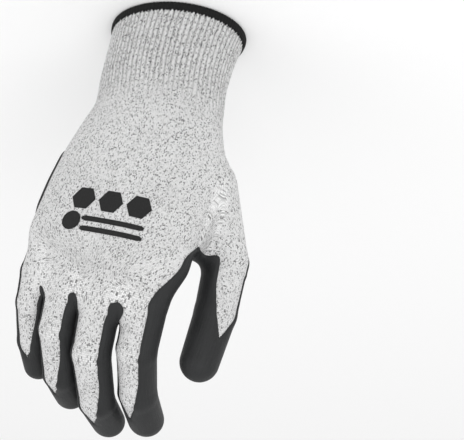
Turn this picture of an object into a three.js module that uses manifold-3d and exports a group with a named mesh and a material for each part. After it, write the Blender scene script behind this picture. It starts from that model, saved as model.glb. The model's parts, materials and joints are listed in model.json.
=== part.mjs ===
// A right-hand cut resistant work glove: a seamless knitted liner, a black foam coat over the palm and
// the fingertips, a ribbed cuff with laid-in elastic yarns, and an overlocked hem.
// Millimetres. The glove stands on its hem: +Z to the fingertips, +X to the thumb, -Y to the palm.
// The hand runs over the knuckles to the webs between the fingers. From there each finger stall is
// three tubes that meet on hinge lines, and the thumb stall is two.

import * as THREE from "three";
import { mergeVertices } from "three/addons/utils/BufferGeometryUtils.js";
import Module from "manifold-3d";

const wasm = await Module();
wasm.setup();

// Driving dimensions
const KNIT_WALL = 1.2;
const COAT_THICKNESS = 0.7;
const PRINT_THICKNESS = 0.4;
const GAP = 0.3;
const SKIN = GAP + COAT_THICKNESS;
const DEPTH_TO_WIDTH = 0.93;

const HEM_HEIGHT = 5;
const HEM_BULGE = 1.3;
const HEM_ROUNDING = 0.4;
const WRIST_HEIGHT = 50;
const WRIST_TILT_BACK = 9;
const WRIST_LEAN = 3.5;
const WRIST_FLEX = { straighten: 18, bend: 22 };

const YARN_COUNT = 4;
const YARN_DIAMETER = 0.9;
const YARN_FIRST_HEIGHT = 12;
const YARN_PITCH = 8;

// Cross-sections of the cuff and the hand: height above the hem, middle, half width, half depth
const CUFF_SECTIONS = [
  { z: 0, x: 1.2, a: 36.2, b: 30.2 },
  { z: 14, x: -0.8, a: 34.8, b: 29 },
  { z: 32, x: -2.6, a: 34.2, b: 27.6 },
  { z: 56, x: -2.2, a: 34.6, b: 25.2 },
];
const HAND_SECTIONS = [
  { z: 44, x: -2.4, a: 34.6, b: 25.4 },
  { z: 56, x: -2, a: 36, b: 24.2 },
  { z: 68, x: -1.4, a: 39.6, b: 22.2 },
  { z: 82, x: -2.6, a: 42.4, b: 20.6 },
  { z: 102, x: -4, a: 43.8, b: 19 },
  { z: 126, x: -5.6, a: 43.8, b: 17 },
  { z: 140, x: -4.6, a: 41.4, b: 14.6 },
  { z: 149, x: -1, a: 34, b: 11 },
];
const SQUARENESS = 2.3;
const ROUND = 2;

// Each finger: the knuckle's place in the straight hand, how far the web is past it, the lengths of the
// three sections from the web, the widths across the coated finger at the web, the two hinges and the
// tip, the lean from the hand's line, and the curl at the knuckle, the web hinge and the middle hinge.
const FINGERS = {
  index: {
    knuckle: [24.5, 0, 144],
    web: 18,
    lengths: [25, 26, 22],
    widths: [22, 20.8, 19.8, 18.8],
    lean: -12,
    curls: [13, 24, 26],
  },
  middle: {
    knuckle: [1, 1, 145],
    web: 18,
    lengths: [28, 30, 21.5],
    widths: [21, 20, 18.8, 17.4],
    lean: -8.8,
    curls: [11, 23, 32],
  },
  ring: {
    knuckle: [-20.5, 0, 140],
    web: 18,
    lengths: [22, 26, 18.5],
    widths: [19.6, 18.4, 17.4, 16.2],
    lean: -5.5,
    curls: [9, 15, 36],
  },
  little: {
    knuckle: [-40.5, -2, 132.5],
    web: 17,
    lengths: [16, 20, 16],
    widths: [18, 17, 16, 14.6],
    lean: -2,
    curls: [12, 11, 25],
  },
};
const TIP_CURL_RATIO = 0.7;
const KNUCKLE_SWELL = 0.3;
const FINGER_SECTIONS = ["proximal", "middle", "distal"];

// The hand's knit is made in sections: the finger roots above one height, each on its own side of a
// line between two knuckles, and the heel of the thumb outside the palm's flank
const ROOTS_START = 138;
const HEEL_FLANK = 34;
const HEEL_TOP = 128;

// How far each hinge straightens past a straight line and how far it bends
const WEB_RANGE = { back: 5, bend: 60 };
const MIDDLE_RANGE = { back: 0, bend: 70 };
const TIP_RANGE = { back: 0, bend: 50 };

const THUMB = {
  heel: [32, -12, 88],
  base: [47.5, -24.5, 121],
  towards: [0.02, -0.1, 1],
  back: [0.8, 0.6, 0],
  bones: [30, 25.5],
  widths: [24.6, 22, 19.6],
  heelWidth: 33,
  curl: 11,
};
const THUMB_BASE_RANGE = { back: 12, bend: 3 };
const THUMB_TIP_RANGE = { back: 0, bend: 21 };

// The coat wraps each finger up to a tongue of bare knit on its back
const TONGUE_HEIGHT = 0.6;
const TONGUE_FROM_TIP = 14;
const PALM_COAT_SIDE = 3;
const PALM_COAT_START = 60;

// Printed marks on the back, placed in the hand's plane and turned a little to the thumb
const PRINT_TURN = 5;
const MARK_MIDDLE = { x: -3.5, z: 119.5 };
const MARK_COUNT = 3;
const MARK_PITCH = 15;
const MARK_RADIUS = 6.6;
const BADGE_RADIUS = 5;
const BADGE_MIDDLE = { x: -22, z: 130.5 };
const BAR_SIZE = { width: 33, height: 2.6 };
const BAR_MIDDLES = [{ x: 0, z: 130.5 }, { x: 0, z: 135.8 }];

// Facets
const HAND_STEPS = 40;
const FINGER_STEPS = 20;
const DOME_STEPS = 4;
const STALL_REACH = 0.62;
const REACH = 60;
const OVERSHOOT = 15;

const MATERIALS = {
  knit: new THREE.MeshStandardMaterial({ color: 0xdcdcdc, roughness: 0.95, metalness: 0 }),
  coat: new THREE.MeshStandardMaterial({ color: 0x2a2b2d, roughness: 0.75, metalness: 0 }),
  hem: new THREE.MeshStandardMaterial({ color: 0x151515, roughness: 0.9, metalness: 0 }),
  elastic: new THREE.MeshStandardMaterial({ color: 0xf0eee8, roughness: 0.7, metalness: 0 }),
  print: new THREE.MeshStandardMaterial({ color: 0x262626, roughness: 0.6, metalness: 0 }),
};

const radians = THREE.MathUtils.degToRad;
const slope = (degrees) => Math.tan(radians(degrees));
const handPoint = ([x, y, z]) => new THREE.Vector3(x, y, z - WRIST_HEIGHT);

// A closed geometry as a solid, turned right side out
function solidOf(geometry) {
  const bare = geometry.index ? geometry.toNonIndexed() : geometry.clone();
  bare.deleteAttribute("normal");
  bare.deleteAttribute("uv");
  const merged = mergeVertices(bare, 1e-4);
  const triVerts = new Uint32Array(merged.index.array);
  const vertProperties = new Float32Array(merged.attributes.position.array);
  const made = new wasm.Manifold(new wasm.Mesh({ numProp: 3, vertProperties, triVerts }));
  if (made.volume() > 0) return made;
  for (let i = 0; i < triVerts.length; i += 3) {
    [triVerts[i + 1], triVerts[i + 2]] = [triVerts[i + 2], triVerts[i + 1]];
  }
  return new wasm.Manifold(new wasm.Mesh({ numProp: 3, vertProperties, triVerts }));
}

function meshOf(name, solid, material) {
  const { vertProperties, triVerts } = solid.getMesh();
  const geometry = new THREE.BufferGeometry();
  geometry.setAttribute("position", new THREE.BufferAttribute(vertProperties, 3));
  geometry.setIndex(new THREE.BufferAttribute(triVerts, 1));
  geometry.computeVertexNormals();
  const mesh = new THREE.Mesh(geometry, material);
  mesh.name = name;
  return mesh;
}

// Part of an outline along Y and Z, extruded between two places along X
function prismAlongX(outline, from, to) {
  const shape = new THREE.Shape(outline.map(([y, z]) => new THREE.Vector2(y, z)));
  const geometry = new THREE.ExtrudeGeometry(shape, { depth: to - from, bevelEnabled: false });
  const turn = new THREE.Matrix4().makeBasis(
    new THREE.Vector3(0, 1, 0),
    new THREE.Vector3(0, 0, 1),
    new THREE.Vector3(1, 0, 0),
  );
  return solidOf(geometry.applyMatrix4(turn).translate(from, 0, 0));
}

// What a section gives up beyond its far hinge at height z, and before its near hinge at height 0
function farClearance(z, range, from = -REACH, to = REACH) {
  const bend = REACH * slope(range.bend / 2);
  const back = REACH * slope(range.back / 2);
  const top = z - GAP / 2;
  const high = z + REACH;
  const outline = [[-REACH, top - bend], [0, top], [REACH, top - back], [REACH, high], [-REACH, high]];
  return prismAlongX(outline, from, to);
}

function nearClearance(range) {
  const bend = REACH * slope(range.bend / 2);
  const back = REACH * slope(range.back / 2);
  const low = GAP / 2;
  const outline = [[-REACH, low + bend], [-REACH, -REACH], [REACH, -REACH], [REACH, low + back], [0, low]];
  return prismAlongX(outline, -REACH, REACH);
}

// A stack of rounded cross-sections, closed at both ends
function stack(sections, offset, squareness) {
  const positions = [];
  const corner = (section, step) => {
    const angle = (step / HAND_STEPS) * 2 * Math.PI;
    const bend = (value) => Math.sign(value) * Math.abs(value) ** (2 / squareness);
    const x = section.x + (section.a + offset) * bend(Math.cos(angle));
    const y = (section.b + offset) * bend(Math.sin(angle));
    return [x, y, section.z];
  };
  const add = (...corners) => positions.push(...corners.flat());
  const first = sections[0];
  const last = sections[sections.length - 1];
  for (let step = 0; step < HAND_STEPS; step++) {
    for (let i = 0; i + 1 < sections.length; i++) {
      const [low, high] = [sections[i], sections[i + 1]];
      add(corner(low, step), corner(low, step + 1), corner(high, step + 1));
      add(corner(low, step), corner(high, step + 1), corner(high, step));
    }
    add([first.x, 0, first.z], corner(first, step + 1), corner(first, step));
    add([last.x, 0, last.z], corner(last, step), corner(last, step + 1));
  }
  const geometry = new THREE.BufferGeometry();
  geometry.setAttribute("position", new THREE.Float32BufferAttribute(positions, 3));
  return solidOf(geometry);
}

// A turned solid about +Z from [radius, height] points that start and end on the axis
function turned(points, flatten) {
  const profile = points.map(([radius, height]) => new THREE.Vector2(radius, height));
  const geometry = new THREE.LatheGeometry(profile, FINGER_STEPS);
  geometry.rotateX(Math.PI / 2).scale(1, flatten, 1);
  return solidOf(geometry);
}

// The solid inside a finger section: its radius runs from r0 at the near hinge to r1 at the far one
function sectionSolid(length, r0, r1, offset, domed) {
  const taper = (r1 - r0) / length;
  const near = [r0 - taper * OVERSHOOT + offset, -OVERSHOOT];
  if (!domed) {
    const far = [r1 + taper * OVERSHOOT + offset, length + OVERSHOOT];
    return turned([[0, near[1]], near, far, [0, far[1]]], DEPTH_TO_WIDTH);
  }
  const dome = [];
  for (let step = 0; step < DOME_STEPS; step++) {
    const angle = (step / DOME_STEPS) * (Math.PI / 2);
    dome.push([(r1 + offset) * Math.cos(angle), length + (r1 + offset) * Math.sin(angle)]);
  }
  return turned([[0, near[1]], near, ...dome, [0, length + r1 + offset]], DEPTH_TO_WIDTH);
}

// One section of a stall: the knitted tube and the coat over it
function stallSection(name, { length, width0, width1, near, far, domed }) {
  const r0 = width0 / 2 - SKIN;
  const r1 = width1 / 2 - SKIN;
  const body = (offset) => sectionSolid(length, r0, r1, offset, domed);
  const trim = (solid) => {
    const open = solid.subtract(nearClearance(near));
    return far ? open.subtract(farClearance(length, far)) : open;
  };
  const knit = trim(body(0).subtract(body(-KNIT_WALL)));
  const tongueTop = domed ? length + r1 + SKIN - TONGUE_FROM_TIP : length + REACH;
  const tongueSide = TONGUE_HEIGHT * r0 * DEPTH_TO_WIDTH;
  const tongue = prismAlongX(
    [[tongueSide, -REACH], [REACH, -REACH], [REACH, tongueTop], [tongueSide, tongueTop]],
    -REACH,
    REACH,
  );
  const coat = trim(body(SKIN).subtract(body(GAP))).subtract(tongue);
  const group = new THREE.Group();
  group.add(meshOf(`${name}_knit`, knit, MATERIALS.knit));
  group.add(meshOf(`${name}_coating`, coat, MATERIALS.coat));
  return group;
}

// A finger's frame at its knuckle: it leans to one side, then curls to the palm
function knuckleFrame({ knuckle, lean, curls }) {
  const frame = new THREE.Matrix4().makeRotationY(radians(lean));
  frame.multiply(new THREE.Matrix4().makeRotationX(radians(curls[0])));
  return frame.setPosition(handPoint(knuckle));
}

function makeFinger(finger, sizes) {
  const { web, lengths, widths, curls } = sizes;
  const ranges = [WEB_RANGE, MIDDLE_RANGE, TIP_RANGE];
  const hingeCurls = [curls[1], curls[2], curls[2] * TIP_CURL_RATIO];
  const root = new THREE.Group();
  root.applyMatrix4(knuckleFrame(sizes));
  let parent = root;
  let along = web;
  FINGER_SECTIONS.forEach((part, i) => {
    const section = stallSection(`${finger}_${part}`, {
      length: lengths[i],
      width0: widths[i],
      width1: widths[i + 1],
      near: ranges[i],
      far: ranges[i + 1],
      domed: i === 2,
    });
    section.name = `${finger}_${part}_pivot`;
    section.position.z = along;
    section.rotation.x = radians(hingeCurls[i]);
    parent.add(section);
    parent = section;
    along = lengths[i];
  });
  return root;
}

// The thumb's own axes in the hand: X is its hinge line, Y its back, Z runs to its tip
function thumbFrame() {
  const z = new THREE.Vector3(...THUMB.towards).normalize();
  const x = new THREE.Vector3(...THUMB.back).cross(z).normalize();
  const y = new THREE.Vector3().crossVectors(z, x);
  return new THREE.Matrix4().makeBasis(x, y, z).setPosition(handPoint(THUMB.base));
}

function makeThumb() {
  const [w0, w1, w2] = THUMB.widths;
  const proximal = stallSection("thumb_proximal", {
    length: THUMB.bones[0],
    width0: w0,
    width1: w1,
    near: THUMB_BASE_RANGE,
    far: THUMB_TIP_RANGE,
    domed: false,
  });
  const distal = stallSection("thumb_distal", {
    length: THUMB.bones[1],
    width0: w1,
    width1: w2,
    near: THUMB_TIP_RANGE,
    far: null,
    domed: true,
  });
  proximal.name = "thumb_proximal_pivot";
  proximal.applyMatrix4(thumbFrame());
  distal.name = "thumb_distal_pivot";
  distal.position.z = THUMB.bones[0];
  distal.rotation.x = radians(THUMB.curl);
  proximal.add(distal);
  return proximal;
}

// A solid cone between two centres with round ends
function roundedCone(start, end, r0, r1, flatten) {
  const length = start.distanceTo(end);
  const tail = [];
  const nose = [];
  for (let step = 1; step <= DOME_STEPS; step++) {
    const angle = (step / DOME_STEPS) * (Math.PI / 2);
    tail.push([r0 * Math.sin(angle), -r0 * Math.cos(angle)]);
    nose.unshift([r1 * Math.sin(angle), length + r1 * Math.cos(angle)]);
  }
  return turned([[0, -r0], ...tail, ...nose, [0, length + r1]], flatten);
}

// The solid inside the heel of the thumb, from the palm to the thumb's base hinge
function thumbHeel(offset) {
  const start = handPoint(THUMB.heel);
  const end = handPoint(THUMB.base);
  const r0 = THUMB.heelWidth / 2 - SKIN + offset;
  const r1 = THUMB.widths[0] / 2 - SKIN + offset;
  const solid = roundedCone(start, end, r0, r1, 1);
  const turn = new THREE.Quaternion().setFromUnitVectors(
    new THREE.Vector3(0, 0, 1),
    end.clone().sub(start).normalize(),
  );
  const place = new THREE.Matrix4().compose(start, turn, new THREE.Vector3(1, 1, 1));
  return solid.transform(place.elements);
}

// The solid inside a finger's root, from its knuckle to its web
function fingerRoot(sizes, offset) {
  const radius = sizes.widths[0] / 2 - SKIN + offset;
  const start = new THREE.Vector3();
  const end = new THREE.Vector3(0, 0, sizes.web);
  const solid = roundedCone(start, end, radius + KNUCKLE_SWELL, radius, DEPTH_TO_WIDTH);
  return solid.transform(knuckleFrame(sizes).elements);
}

// The wrist's hinge leaves the same wedges on the cuff and on the hand
const WRIST_RANGE = {
  back: WRIST_FLEX.straighten + WRIST_TILT_BACK,
  bend: WRIST_FLEX.bend - WRIST_TILT_BACK,
};

// A hinge's clearance kept to a block around one stall
function stallClearance(width, z, range, frame) {
  const side = width * STALL_REACH;
  const outline = [[-side, z - side], [side, z - side], [side, z + side], [-side, z + side]];
  const block = prismAlongX(outline, -side, side);
  return farClearance(z, range).intersect(block).transform(frame.elements);
}

// Everything that the wrist, the fingers and the thumb need free of the hand's solids
function handClearances() {
  const unleaned = new THREE.Matrix4().makeRotationY(radians(WRIST_LEAN));
  const cuts = [nearClearance(WRIST_RANGE).transform(unleaned.elements)];
  for (const sizes of Object.values(FINGERS)) {
    cuts.push(stallClearance(sizes.widths[0], sizes.web, WEB_RANGE, knuckleFrame(sizes)));
  }
  cuts.push(stallClearance(THUMB.widths[0], 0, THUMB_BASE_RANGE, thumbFrame()));
  return cuts;
}

function handBody(offset) {
  const local = HAND_SECTIONS.map((section) => ({ ...section, z: section.z - WRIST_HEIGHT }));
  const limbs = Object.values(FINGERS).map((sizes) => fingerRoot(sizes, offset));
  limbs.push(thumbHeel(offset));
  return limbs.reduce((left, limb) => left.add(limb), stack(local, offset, SQUARENESS));
}

function trimHand(solid) {
  return handClearances().reduce((left, cut) => left.subtract(cut), solid);
}

// The largest of the separate bodies in a solid
function mainBody(solid) {
  return solid.decompose().sort((one, other) => other.volume() - one.volume())[0];
}

// The hand's knit as its sections, by name
function handKnits() {
  const knit = mainBody(trimHand(handBody(0).subtract(handBody(-KNIT_WALL))));
  const [upper, lower] = knit.splitByPlane([0, 0, 1], ROOTS_START - WRIST_HEIGHT);
  const low = -REACH;
  const high = HEEL_TOP - WRIST_HEIGHT;
  const flank = prismAlongX([[-REACH, low], [REACH, low], [REACH, high], [-REACH, high]], HEEL_FLANK, 2 * REACH);
  const sections = { hand: mainBody(lower.subtract(flank)), thumb_heel: mainBody(lower.intersect(flank)) };
  let rest = upper;
  const fingers = Object.entries(FINGERS);
  fingers.forEach(([finger, sizes], i) => {
    const next = fingers[i + 1]?.[1];
    if (!next) {
      sections[`${finger}_root`] = mainBody(rest);
      return;
    }
    const middle = handPoint(sizes.knuckle).add(handPoint(next.knuckle)).multiplyScalar(0.5);
    const lean = radians((sizes.lean + next.lean) / 2);
    const normal = new THREE.Vector3(Math.cos(lean), 0, -Math.sin(lean));
    const [near, far] = rest.splitByPlane(normal.toArray(), normal.dot(middle));
    sections[`${finger}_root`] = mainBody(near);
    rest = far;
  });
  return sections;
}

function palmCoating() {
  const start = PALM_COAT_START - WRIST_HEIGHT;
  const palmSide = prismAlongX(
    [[-REACH, start], [PALM_COAT_SIDE, start], [PALM_COAT_SIDE, 2 * REACH], [-REACH, 2 * REACH]],
    -2 * REACH,
    2 * REACH,
  );
  return mainBody(trimHand(handBody(SKIN).subtract(handBody(GAP)).intersect(palmSide)));
}

// A flat shape in the hand's plane, printed on the back of the knit
function printedMark(shape, { x, z }) {
  const geometry = new THREE.ExtrudeGeometry(shape, { depth: REACH, bevelEnabled: false });
  const turn = new THREE.Matrix4().makeBasis(
    new THREE.Vector3(-1, 0, 0),
    new THREE.Vector3(0, 0, 1),
    new THREE.Vector3(0, 1, 0),
  );
  geometry.applyMatrix4(turn).rotateY(-radians(PRINT_TURN));
  const column = solidOf(geometry.translate(x, 0, z - WRIST_HEIGHT));
  const film = handBody(GAP + PRINT_THICKNESS).subtract(handBody(GAP));
  return mainBody(film.intersect(column));
}

function polygon(radius, corners) {
  const points = [];
  for (let i = 0; i < corners; i++) {
    const angle = (i / corners) * 2 * Math.PI;
    points.push(new THREE.Vector2(radius * Math.cos(angle), radius * Math.sin(angle)));
  }
  return new THREE.Shape(points);
}

function bar({ width, height }) {
  const [x, y] = [width / 2, height / 2];
  const corners = [[-x, -y], [x, -y], [x, y], [-x, y]];
  return new THREE.Shape(corners.map((corner) => new THREE.Vector2(...corner)));
}

function makePrint() {
  const print = new THREE.Group();
  const add = (name, shape, middle) => print.add(meshOf(name, printedMark(shape, middle), MATERIALS.print));
  for (let i = 0; i < MARK_COUNT; i++) {
    const along = (i - (MARK_COUNT - 1) / 2) * MARK_PITCH;
    const x = MARK_MIDDLE.x + along * Math.cos(radians(PRINT_TURN));
    const z = MARK_MIDDLE.z + along * Math.sin(radians(PRINT_TURN));
    add(`print_hexagon_${i + 1}`, polygon(MARK_RADIUS, 6), { x, z });
  }
  add("print_badge", polygon(BADGE_RADIUS, 16), BADGE_MIDDLE);
  BAR_MIDDLES.forEach((middle, i) => add(`print_bar_${i + 1}`, bar(BAR_SIZE), middle));
  return print;
}

// The cuff's cross-section at a height, between the listed ones
function cuffAt(height) {
  const above = CUFF_SECTIONS.findIndex((section) => section.z >= height);
  const [low, high] = [CUFF_SECTIONS[Math.max(above - 1, 0)], CUFF_SECTIONS[Math.max(above, 1)]];
  const share = (height - low.z) / (high.z - low.z);
  const mix = (key) => THREE.MathUtils.lerp(low[key], high[key], share);
  return { z: height, x: mix("x"), a: mix("a"), b: mix("b") };
}

// A slice of the cuff's outline between two heights, grown by an offset at each height
function cuffSlice(levels) {
  const sections = levels.map(([height, offset]) => {
    const section = cuffAt(height);
    return { ...section, a: section.a + offset, b: section.b + offset };
  });
  return stack(sections, 0, ROUND);
}

function makeHem() {
  const rim = cuffSlice([
    [0, HEM_ROUNDING],
    [HEM_HEIGHT * 0.2, HEM_BULGE],
    [HEM_HEIGHT * 0.7, HEM_BULGE],
    [HEM_HEIGHT, HEM_ROUNDING],
  ]);
  const hole = cuffSlice([[0, -KNIT_WALL - HEM_ROUNDING], [HEM_HEIGHT, -KNIT_WALL]]);
  const through = hole.add(hole.translate(0, 0, -1)).add(hole.translate(0, 0, 1));
  return meshOf("cuff_hem_overlock", rim.subtract(through), MATERIALS.hem);
}

function makeCuffKnit() {
  const inner = CUFF_SECTIONS.slice(1, -1).map((section) => section.z);
  const heights = [HEM_HEIGHT + GAP, ...inner, WRIST_HEIGHT + HEM_HEIGHT];
  const outside = cuffSlice(heights.map((height) => [height, 0]));
  const inside = cuffSlice(heights.map((height) => [height, -KNIT_WALL]));
  const through = inside.add(inside.translate(0, 0, -1)).add(inside.translate(0, 0, 1));
  const cut = farClearance(WRIST_HEIGHT, WRIST_RANGE);
  return meshOf("cuff_rib_knit", outside.subtract(through).subtract(cut), MATERIALS.knit);
}

// A yarn laid in a ring just inside the cuff's wall
function makeElasticYarn(index) {
  const height = YARN_FIRST_HEIGHT + index * YARN_PITCH;
  const outer = -KNIT_WALL - GAP;
  const r = YARN_DIAMETER / 2;
  const ring = cuffSlice([[height - r, outer - r * 0.6], [height, outer], [height + r, outer - r * 0.6]]);
  const hole = cuffSlice([[height - r - 0.1, outer - 2 * r], [height + r + 0.1, outer - 2 * r]]);
  return meshOf(`elastic_yarn_${index + 1}`, ring.subtract(hole), MATERIALS.elastic);
}

function makeCuff() {
  const cuff = new THREE.Group();
  cuff.add(makeHem(), makeCuffKnit());
  for (let i = 0; i < YARN_COUNT; i++) cuff.add(makeElasticYarn(i));
  return cuff;
}

function makeHand() {
  const hand = new THREE.Group();
  hand.name = "hand_pivot";
  hand.position.z = WRIST_HEIGHT;
  hand.rotation.set(-radians(WRIST_TILT_BACK), -radians(WRIST_LEAN), 0);
  for (const [name, solid] of Object.entries(handKnits())) {
    hand.add(meshOf(`${name}_knit`, solid, MATERIALS.knit));
  }
  hand.add(meshOf("palm_coating", palmCoating(), MATERIALS.coat));
  hand.add(makePrint());
  for (const [finger, sizes] of Object.entries(FINGERS)) hand.add(makeFinger(finger, sizes));
  hand.add(makeThumb());
  return hand;
}

const glove = new THREE.Group();
glove.add(makeCuff(), makeHand());

// The origin is the middle of the glove's footprint, on the plane of the hem
glove.updateMatrixWorld(true);
const box = new THREE.Box3().setFromObject(glove, true);
glove.position.set(-(box.min.x + box.max.x) / 2, -(box.min.y + box.max.y) / 2, -box.min.z);

export default glove;
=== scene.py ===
# The visual model of a cut resistant work glove: a knitted liner with a black foam coat, a ribbed cuff
# with laid-in elastic yarns, an overlocked hem and a printed back.
# Lengths in this script are millimetres in the frame's axes, but the studio's are metres, as meshes are.
import json

import bpy
import numpy as np
from mathutils import Matrix, Vector


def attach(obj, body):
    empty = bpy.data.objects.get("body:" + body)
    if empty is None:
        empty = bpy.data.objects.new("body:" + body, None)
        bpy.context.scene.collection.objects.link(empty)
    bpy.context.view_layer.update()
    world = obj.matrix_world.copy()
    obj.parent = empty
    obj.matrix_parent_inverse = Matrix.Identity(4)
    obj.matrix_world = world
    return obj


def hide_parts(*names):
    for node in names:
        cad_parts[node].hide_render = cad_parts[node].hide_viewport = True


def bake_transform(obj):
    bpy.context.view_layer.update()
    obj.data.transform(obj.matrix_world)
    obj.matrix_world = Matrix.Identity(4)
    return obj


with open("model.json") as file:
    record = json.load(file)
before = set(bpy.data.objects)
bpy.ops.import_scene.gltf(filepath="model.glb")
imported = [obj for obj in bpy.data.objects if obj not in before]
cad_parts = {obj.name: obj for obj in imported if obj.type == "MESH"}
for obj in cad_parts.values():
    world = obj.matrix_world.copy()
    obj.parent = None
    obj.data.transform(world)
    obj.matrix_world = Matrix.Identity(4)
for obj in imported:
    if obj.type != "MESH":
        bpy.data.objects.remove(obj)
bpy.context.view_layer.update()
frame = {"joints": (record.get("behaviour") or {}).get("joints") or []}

MM = 0.001
PI = np.pi
FULL_TURN = 2 * PI

# -------- sizes
KNIT_WALL = 1.2
# The coat's inner and outer face above the knit, and the width of its rounded edge
COAT_INNER = 0.12
COAT_OUTER = 1.0
COAT_EDGE_RISE = 0.02
COAT_LIP = 1.1
# What the coat adds to a finger's radius, and a finger's depth for its width
SKIN = 1.0
FLATTEN = 0.93
# The straight hand's wrist, its tilt to the back and its lean at rest, and the heights it bends over
WRIST_HEIGHT = 50.0
WRIST_TILT = 9.0
WRIST_LEAN = 3.5
WRIST_ZONE = (40.0, 62.0)

# Height in the straight glove, middle, half width, half depth, squareness of the outline
TORSO = np.array([
    (0.0, 1.4, 36.8, 30.6, 2.0),
    (6.0, 0.6, 35.6, 29.8, 2.0),
    (14.0, -0.8, 34.8, 29.0, 2.0),
    (32.0, -2.6, 34.2, 27.6, 2.0),
    (50.0, -2.2, 34.6, 25.4, 2.05),
    (56.0, -2.0, 36.0, 24.4, 2.15),
    (68.0, -1.4, 39.6, 22.2, 2.3),
    (82.0, -2.6, 42.4, 20.6, 2.3),
    (102.0, -4.0, 43.8, 19.0, 2.3),
    (126.0, -5.6, 43.8, 17.0, 2.3),
    (140.0, -4.6, 41.6, 14.6, 2.3),
    (149.0, -2.0, 37.0, 11.8, 2.3),
    (160.0, 0.0, 34.0, 9.0, 2.3),
])
# Spacing of the smoothed table, the spread of its smoothing and how far that reaches, in rows
TABLE_STEP = 0.5
TABLE_SPREAD = 6.0
TABLE_REACH = 16
# The palm ends on a slant, lower at the little finger, with a rounded top
TORSO_TOP = 152.0
TORSO_SLANT = 0.30
TORSO_ROUNDING = 12.0

# Length from knuckle to web, last section's length, widths of the coated finger, lean and curls
FINGERS = {
    "index": (18, 22, (22, 20.8, 19.8, 18.8), -12, (13, 24, 26)),
    "middle": (18, 21.5, (21, 20, 18.8, 17.4), -8.8, (11, 23, 32)),
    "ring": (18, 18.5, (19.6, 18.4, 17.4, 16.2), -5.5, (9, 15, 36)),
    "little": (17, 16, (18, 17, 16, 14.6), -2, (12, 11, 25)),
}
TIP_RATIO = 0.7
KNUCKLE_SWELL = 0.3
# Between neighbours: how far past the web hinges the crotch lies, and the web's radius
WEBS = {("index", "middle"): (8.5, 9.0), ("middle", "ring"): (6.5, 8.6), ("ring", "little"): (7.0, 8.0)}

# The thumb: its heel, its direction, its back, the tip section's length and the coated widths
THUMB_HEEL = (32, -12, 88)
THUMB_TOWARDS = (0.02, -0.1, 1)
THUMB_BACK = (0.8, 0.6, 0)
THUMB_LAST = 25.5
THUMB_WIDTHS = (23.4, 21.8, 20)
THUMB_HEEL_RADIUS = 15.5
THUMB_CURL = 11.0
# Corners of the web between the thumb and the index finger, the first two on its free edge
THUMB_WEB = ((42, -19, 119), (19, -3, 126), (30, -11, 96))
THUMB_WEB_RADIUS = 6.5

# Rounding where two shapes of the knit meet
SECTION_JOIN = 1.2
WEB_JOIN = 5.0
FINGER_JOIN = 7.0
THUMB_JOIN = 9.0
# How far a limb's own pattern and tongue take to turn at a hinge, each way
PATTERN_ZONE = 9.0
TONGUE_ZONE = 3.5
# Distance from the palm's shape over which a limb's pattern takes over
LIMB_ZONE = (0.0, 9.0)

# The bare tongue on each finger's back: half its angle, the turn of its middle line to the thumb's side,
# the length over which it narrows and its point's distance from the tip
TONGUE_ANGLE = 53.0
TONGUE_TURN = {"index": -17.0, "middle": -6.0, "ring": -15.0, "little": -10.0, "thumb": 4.0}
TONGUE_TAPER = 28.0
TONGUE_ROUNDING = 1.9
TONGUE_FROM_TIP = {"index": 19.0, "middle": 19.0, "ring": 18.0, "little": 16.0, "thumb": 22.0}
# Half the bare angle at the thumb's heel, and where it narrows, from the thumb's base hinge
HEEL_ANGLE = 114.0
HEEL_ZONE = (-24.0, 4.0)
# Where a finger's tongue takes over from the palm's edge, from the web hinge and from the web
ROOT_ZONE = (-6.0, 5.0)
WEB_ZONE = (0.0, 3.0)
# The thumb's web is bare to this line past its edge, further near the thumb, and coated under it
THUMB_WEB_BARE = 1.0
THUMB_WEB_EXTRA = 7.0
THUMB_WEB_EXTRA_ZONE = (31.0, 44.0)
THUMB_WEB_UNDER = 3.0
THUMB_WEB_ZONE = (0.5, 6.0)
# The coat's edge on the palm's sides: its place to the back, less below a height
SIDE_LINE = 4.0
WRIST_DROP = 13.0
WRIST_DROP_TOP = 90.0
WRIST_DROP_LENGTH = 38.0
# What is added to it: how much, on which side (1 is the thumb's), the zone across, and the zones of
# height where that starts and ends
FROM_START = (-20.0, -10.0)
TO_END = (300.0, 310.0)
SIDE_CHANGES = (
    (3.5, -1, (15.0, 35.0), (70.0, 88.0), (108.0, 126.0)),
    (-14.0, 1, (10.0, 32.0), FROM_START, (118.0, 142.0)),
    (-7.0, -1, (26.0, 40.0), (114.0, 130.0), TO_END),
)
# The coat's edge at the wrist: its height, its bow and its lean to the thumb
LOW_LINE = 50.0
LOW_BOW = 0.0045
LOW_LEAN = 0.09

# The knit: width and height of a stitch, the cuff's ribs, and heights where things start and end
WALE = 1.1
COURSE = 0.7
RIB_COUNT = 74
RIB_PITCH = 2.8
RIB_DEPTH = 0.45
RIB_COLUMNS = 10
PATTERN_HALF = RIB_COUNT * RIB_PITCH / 2
RIB_FADE = (30.0, 66.0)
CUFF_TOP = 36.0
PATTERN_TOP = 126.0
# Gathers across the palm's side above the wrist, with the zones of height where they start and end
GATHER_DEPTH = 0.45
GATHER_PITCH = 4.6
GATHER_START = (44, 54)
GATHER_END = (72, 84)
GATHER_PALM = (2.0, 12.0)

# Meshing: the ribbed tube, the grid's step, and the height where the fingers' two meshes start
RING_BOTTOM = 3.5
RING_TOP = 60.0
RING_STEP = 0.8
GRID_STEP = 1.0
SPLIT_HEIGHT = 148.0
PALM_BOX = ((-56, -48, 54), (68, 46, 166))
FINGER_BOX = ((-64, -54, 136), (68, 50, 222))
OUTLINE_STEP = 2.0
# How far the first cut lies before a limb's first hinge, and how far a cut reaches
FIRST_CUT = 2.0
THUMB_FIRST_CUT = 9.0
CUT_REACH = 45.0
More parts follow.
